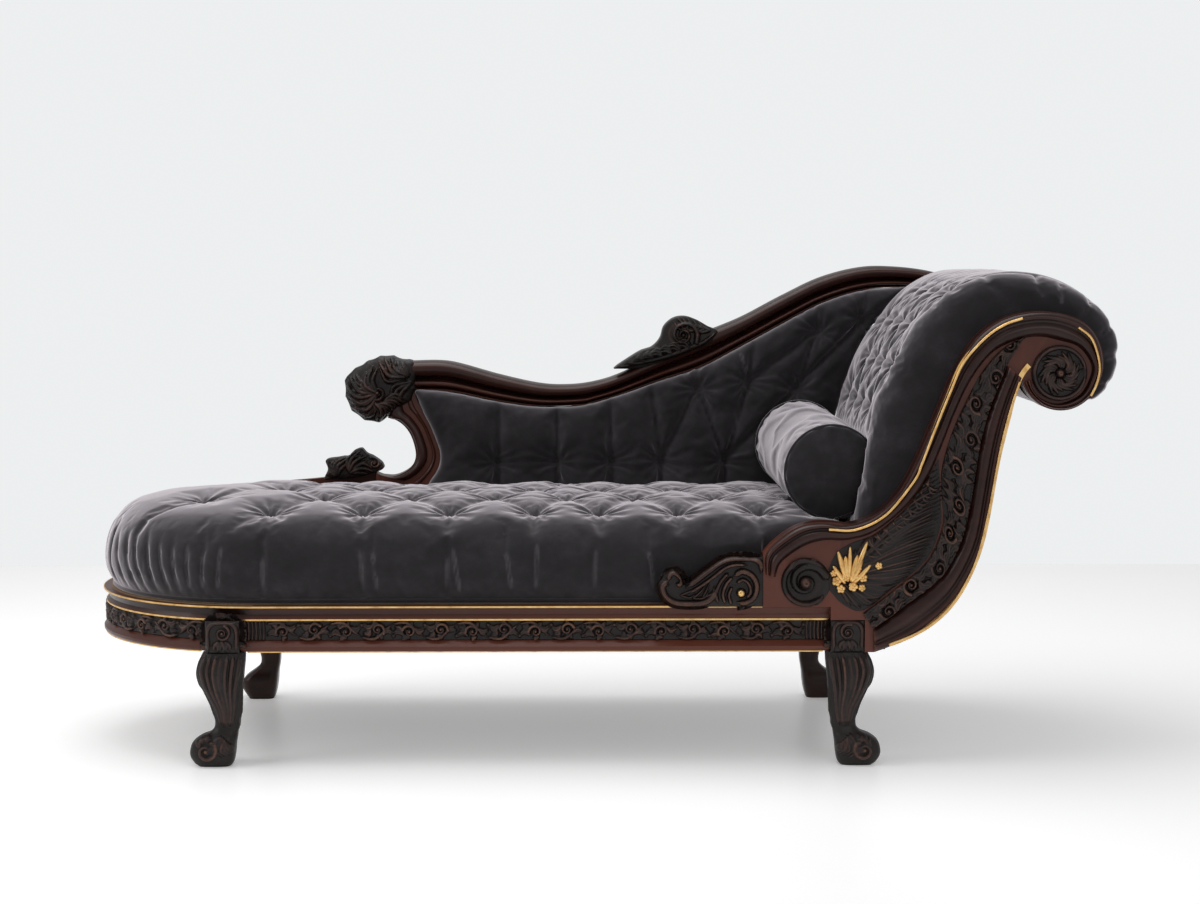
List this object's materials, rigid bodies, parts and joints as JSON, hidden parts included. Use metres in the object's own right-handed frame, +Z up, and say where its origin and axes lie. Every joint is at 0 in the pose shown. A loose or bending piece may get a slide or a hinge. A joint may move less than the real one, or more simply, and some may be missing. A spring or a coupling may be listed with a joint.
{
  "type": "fainting couch",
  "caption": "Carved dark wood fainting couch with round foot end, deep buttoned velvet seat, sweeping back rest, rolled head end and a loose bolster.",
  "frame": {"origin": "middle of the couch on the floor, halfway between the foot end and the rolled head end and between front and back", "axes": "+X from the round foot end to the rolled head end, +Y from the open front to the back rest, +Z up"},
  "size_m": [1.899, 0.701, 0.9001],
  "materials": {
    "charcoal_velvet": "charcoal grey velvet with a strong sheen, darker where it turns away",
    "dark_mahogany": "very dark red brown mahogany, hand rubbed satin polish, carved",
    "frame_beech": "plain planed hardwood inside the frame, not polished",
    "gilding": "gold leaf lines and flowers, slightly worn",
    "spring_steel": "coppered steel spring wire and bolts",
    "jute_cloth": "plain woven jute webbing and hessian"
  },
  "bodies": {
    "root": {"back_bottom_rail": "frame_beech", "back_buttons": "charcoal_velvet", "back_end_scroll": "dark_mahogany", "back_knuckle": "dark_mahogany", "back_outside_cover": "charcoal_velvet", "back_pad": "charcoal_velvet", "back_uprights": "frame_beech", "corner_blocks": "frame_beech", "crest_carving": "dark_mahogany", "crest_rail": "dark_mahogany", "cross_bearers": "frame_beech", "dust_cover": "jute_cloth", "foot_end_rail": "dark_mahogany", "foot_frieze": "dark_mahogany", "foot_lower_moulding": "dark_mahogany", "front_arm_scroll": "dark_mahogany", "front_base_volute": "dark_mahogany", "front_foot_leg": "dark_mahogany", "front_frieze": "dark_mahogany", "front_head_leg": "dark_mahogany", "front_leaf_carving": "dark_mahogany", "front_lower_moulding": "dark_mahogany", "front_scroll_beads": "dark_mahogany", "front_scroll_carving": "dark_mahogany", "front_scroll_eye": "dark_mahogany", "front_scroll_gilding": "gilding", "front_scroll_side": "dark_mahogany", "front_seat_rail": "dark_mahogany", "gilt_flower_spray": "gilding", "head_buttons": "charcoal_velvet", "head_lower_rail": "frame_beech", "head_middle_rail": "frame_beech", "head_outside_cover": "charcoal_velvet", "head_pad": "charcoal_velvet", "head_roll": "frame_beech", "head_seat_rail": "dark_mahogany", "leg_bolts": "spring_steel", "rail_dowels": "frame_beech", "rail_gilding": "gilding", "rear_foot_leg": "dark_mahogany", "rear_frieze": "dark_mahogany", "rear_head_leg": "dark_mahogany", "rear_leaf_carving": "dark_mahogany", "rear_lower_moulding": "dark_mahogany", "rear_scroll_beads": "dark_mahogany", "rear_scroll_carving": "dark_mahogany", "rear_scroll_eye": "dark_mahogany", "rear_scroll_gilding": "gilding", "rear_scroll_side": "dark_mahogany", "rear_seat_rail": "dark_mahogany", "rear_wing": "dark_mahogany", "seat_buttons": "charcoal_velvet", "seat_hessian": "jute_cloth", "seat_pad": "charcoal_velvet", "seat_springs": "spring_steel", "seat_webbing": "jute_cloth", "seat_welt": "charcoal_velvet", "upper_moulding": "dark_mahogany"},
    "bolster": {"bolster": "charcoal_velvet", "bolster_piping": "charcoal_velvet"}
  },
  "joints": [
    {"name": "bolster_lift", "type": "slide", "parent": "root", "child": "bolster", "axis": [-0.5501, 0, 0.8351], "range_m": [0, 0.35]}
  ]
}
